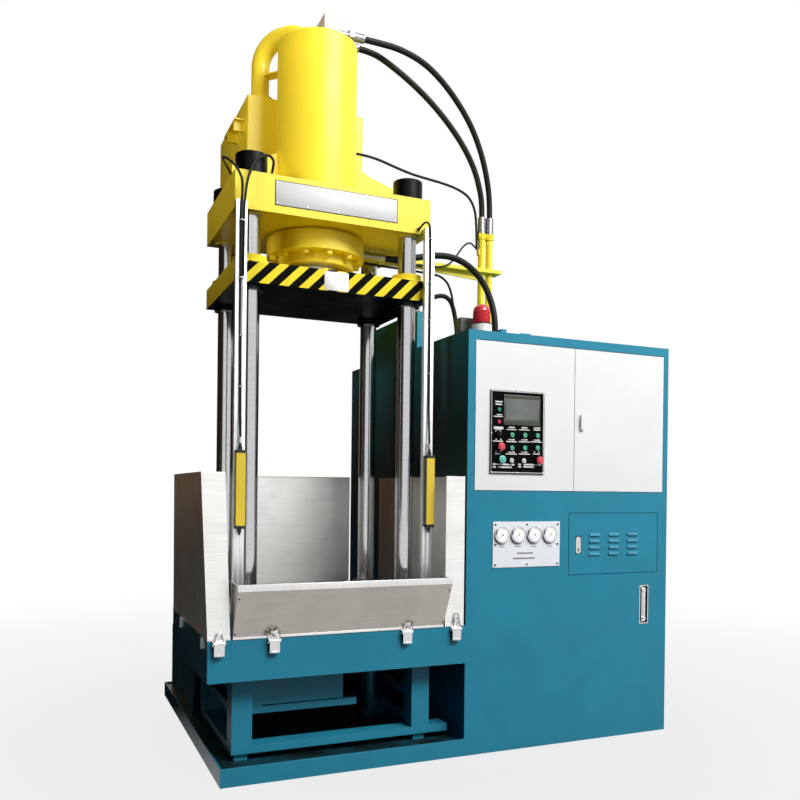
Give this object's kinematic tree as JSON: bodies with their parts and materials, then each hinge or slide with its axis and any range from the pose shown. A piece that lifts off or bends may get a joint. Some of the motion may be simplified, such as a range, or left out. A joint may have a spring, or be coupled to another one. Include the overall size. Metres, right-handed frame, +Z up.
{
  "type": "hydraulic press",
  "caption": "Column-guided down-acting hydraulic press with a splash-guarded bed, an overhead cylinder and prefill tank, and a free-standing power and control cabinet.",
  "frame": {"origin": "middle of the machine's footprint, on the floor", "axes": "+Z up, +X to the right from the press bay to the cabinet, -Y towards the operator"},
  "size_m": [2.54, 1.839, 3.7165],
  "materials": {
    "blue_paint": "satin",
    "yellow_paint": "gloss",
    "bush_yellow": "satin",
    "white_paint": "satin",
    "machined_steel": "machined",
    "chrome": "polished",
    "black_oxide": "satin",
    "stainless": "brushed",
    "aluminium": "anodised",
    "curtain_yellow": "satin",
    "black_plastic": "satin",
    "grey_device": "satin",
    "green_plastic": "gloss",
    "white_plastic": "gloss",
    "red_plastic": "gloss",
    "hose_rubber": "matte"
  },
  "bodies": {
    "frame": {"base_tray": "blue_paint", "bolster": "machined_steel", "cabinet_housing": "blue_paint", "column_nuts": "black_oxide", "columns": "chrome", "crown": "yellow_paint", "curtain_posts": "aluminium", "flange_bolts": "yellow_paint", "front_trough": "stainless", "gauge_plate": "machined_steel", "gland_ring": "yellow_paint", "guard_left": "stainless", "guard_right": "stainless", "hose_couplings": "machined_steel", "hose_inner": "hose_rubber", "hose_manifold": "machined_steel", "hose_outer": "hose_rubber", "hose_return": "hose_rubber", "lamp_base": "white_plastic", "lamp_dome": "red_plastic", "latch_brackets": "stainless", "level_gauge": "black_plastic", "light_curtains": "curtain_yellow", "main_cylinder": "yellow_paint", "motor_pump": "grey_device", "pilot_line": "hose_rubber", "pipe_stand": "yellow_paint", "prefill_pipe": "yellow_paint", "prefill_tank": "yellow_paint", "pressure_gauges": "chrome", "splash_box": "blue_paint", "switchgear": "grey_device", "terminal_box": "grey_device", "underframe": "blue_paint"},
    "slide": {"slide_plate": "yellow_paint", "ram": "chrome", "slide_bolts": "yellow_paint", "guide_bushes": "bush_yellow"},
    "left_door": {"door_left": "white_paint", "control_panel": "black_plastic"},
    "right_door": {"door_right": "white_paint"},
    "right_door_latch": {"door_latch": "black_plastic"},
    "vent_door": {"louvre_door": "blue_paint"},
    "vent_door_lock": {"louvre_lock": "black_plastic"},
    "latch_1": {"latch_lever_1": "stainless"},
    "latch_2": {"latch_lever_2": "stainless"},
    "latch_3": {"latch_lever_3": "stainless"},
    "latch_4": {"latch_lever_4": "stainless"},
    "selector_knob_body": {"selector_knob": "black_plastic"},
    "stop_button_left_body": {"stop_button_left": "red_plastic"},
    "start_button_body": {"start_button": "green_plastic"},
    "push_button_1_body": {"push_button_1": "green_plastic"},
    "push_button_2_body": {"push_button_2": "green_plastic"},
    "push_button_3_body": {"push_button_3": "green_plastic"},
    "push_button_4_body": {"push_button_4": "green_plastic"},
    "push_button_5_body": {"push_button_5": "green_plastic"},
    "push_button_6_body": {"push_button_6": "green_plastic"},
    "push_button_7_body": {"push_button_7": "white_plastic"},
    "push_button_8_body": {"push_button_8": "white_plastic"},
    "stop_button_right_body": {"stop_button_right": "red_plastic"}
  },
  "joints": [
    {"name": "slide_travel", "type": "slide", "parent": "frame", "child": "slide", "axis": [0, 0, -1], "range_m": [0, 0.7]},
    {"name": "left_door_hinge", "type": "hinge", "parent": "frame", "child": "left_door", "pos_m": [0.069, -0.817, 1.68], "axis": [0, 0, -1], "range_deg": [0, 105]},
    {"name": "right_door_hinge", "type": "hinge", "parent": "frame", "child": "right_door", "pos_m": [1.23, -0.817, 1.68], "axis": [0, 0, 1], "range_deg": [0, 105]},
    {"name": "right_door_latch_turn", "type": "hinge", "parent": "right_door", "child": "right_door_latch", "pos_m": [0.695, -0.823, 1.67], "axis": [0, 1, 0], "range_deg": [0, 90]},
    {"name": "vent_door_hinge", "type": "hinge", "parent": "frame", "child": "vent_door", "pos_m": [1.198, -0.817, 1.033], "axis": [0, 0, 1], "range_deg": [0, 105]},
    {"name": "vent_door_lock_lever", "type": "hinge", "parent": "vent_door", "child": "vent_door_lock", "pos_m": [0.683, -0.82, 1.0665], "axis": [-1, 0, 0], "range_deg": [0, 80]},
    {"name": "latch_1_swing", "type": "hinge", "parent": "frame", "child": "latch_1", "pos_m": [-1.187, -0.837, 0.633], "axis": [-1, 0, 0], "range_deg": [0, 95]},
    {"name": "latch_2_swing", "type": "hinge", "parent": "frame", "child": "latch_2", "pos_m": [-0.942, -0.837, 0.633], "axis": [-1, 0, 0], "range_deg": [0, 95]},
    {"name": "latch_3_swing", "type": "hinge", "parent": "frame", "child": "latch_3", "pos_m": [-0.298, -0.837, 0.633], "axis": [-1, 0, 0], "range_deg": [0, 95]},
    {"name": "latch_4_swing", "type": "hinge", "parent": "frame", "child": "latch_4", "pos_m": [-0.036, -0.837, 0.633], "axis": [-1, 0, 0], "range_deg": [0, 95]},
    {"name": "selector_knob_turn", "type": "hinge", "parent": "left_door", "child": "selector_knob_body", "pos_m": [0.191, -0.823, 1.592], "axis": [0, -1, 0], "range_deg": [-45, 45]},
    {"name": "stop_button_left_press", "type": "slide", "parent": "left_door", "child": "stop_button_left_body", "axis": [0, 1, 0], "range_m": [0, 0.004], "stiffness_N_per_m": 600},
    {"name": "start_button_press", "type": "slide", "parent": "left_door", "child": "start_button_body", "axis": [0, 1, 0], "range_m": [0, 0.004], "stiffness_N_per_m": 600},
    {"name": "push_button_1_press", "type": "slide", "parent": "left_door", "child": "push_button_1_body", "axis": [0, 1, 0], "range_m": [0, 0.004], "stiffness_N_per_m": 600},
    {"name": "push_button_2_press", "type": "slide", "parent": "left_door", "child": "push_button_2_body", "axis": [0, 1, 0], "range_m": [0, 0.004], "stiffness_N_per_m": 600},
    {"name": "push_button_3_press", "type": "slide", "parent": "left_door", "child": "push_button_3_body", "axis": [0, 1, 0], "range_m": [0, 0.004], "stiffness_N_per_m": 600},
    {"name": "push_button_4_press", "type": "slide", "parent": "left_door", "child": "push_button_4_body", "axis": [0, 1, 0], "range_m": [0, 0.004], "stiffness_N_per_m": 600},
    {"name": "push_button_5_press", "type": "slide", "parent": "left_door", "child": "push_button_5_body", "axis": [0, 1, 0], "range_m": [0, 0.004], "stiffness_N_per_m": 600},
    {"name": "push_button_6_press", "type": "slide", "parent": "left_door", "child": "push_button_6_body", "axis": [0, 1, 0], "range_m": [0, 0.004], "stiffness_N_per_m": 600},
    {"name": "push_button_7_press", "type": "slide", "parent": "left_door", "child": "push_button_7_body", "axis": [0, 1, 0], "range_m": [0, 0.004], "stiffness_N_per_m": 600},
    {"name": "push_button_8_press", "type": "slide", "parent": "left_door", "child": "push_button_8_body", "axis": [0, 1, 0], "range_m": [0, 0.004], "stiffness_N_per_m": 600},
    {"name": "stop_button_right_press", "type": "slide", "parent": "left_door", "child": "stop_button_right_body", "axis": [0, 1, 0], "range_m": [0, 0.004], "stiffness_N_per_m": 600}
  ]
}
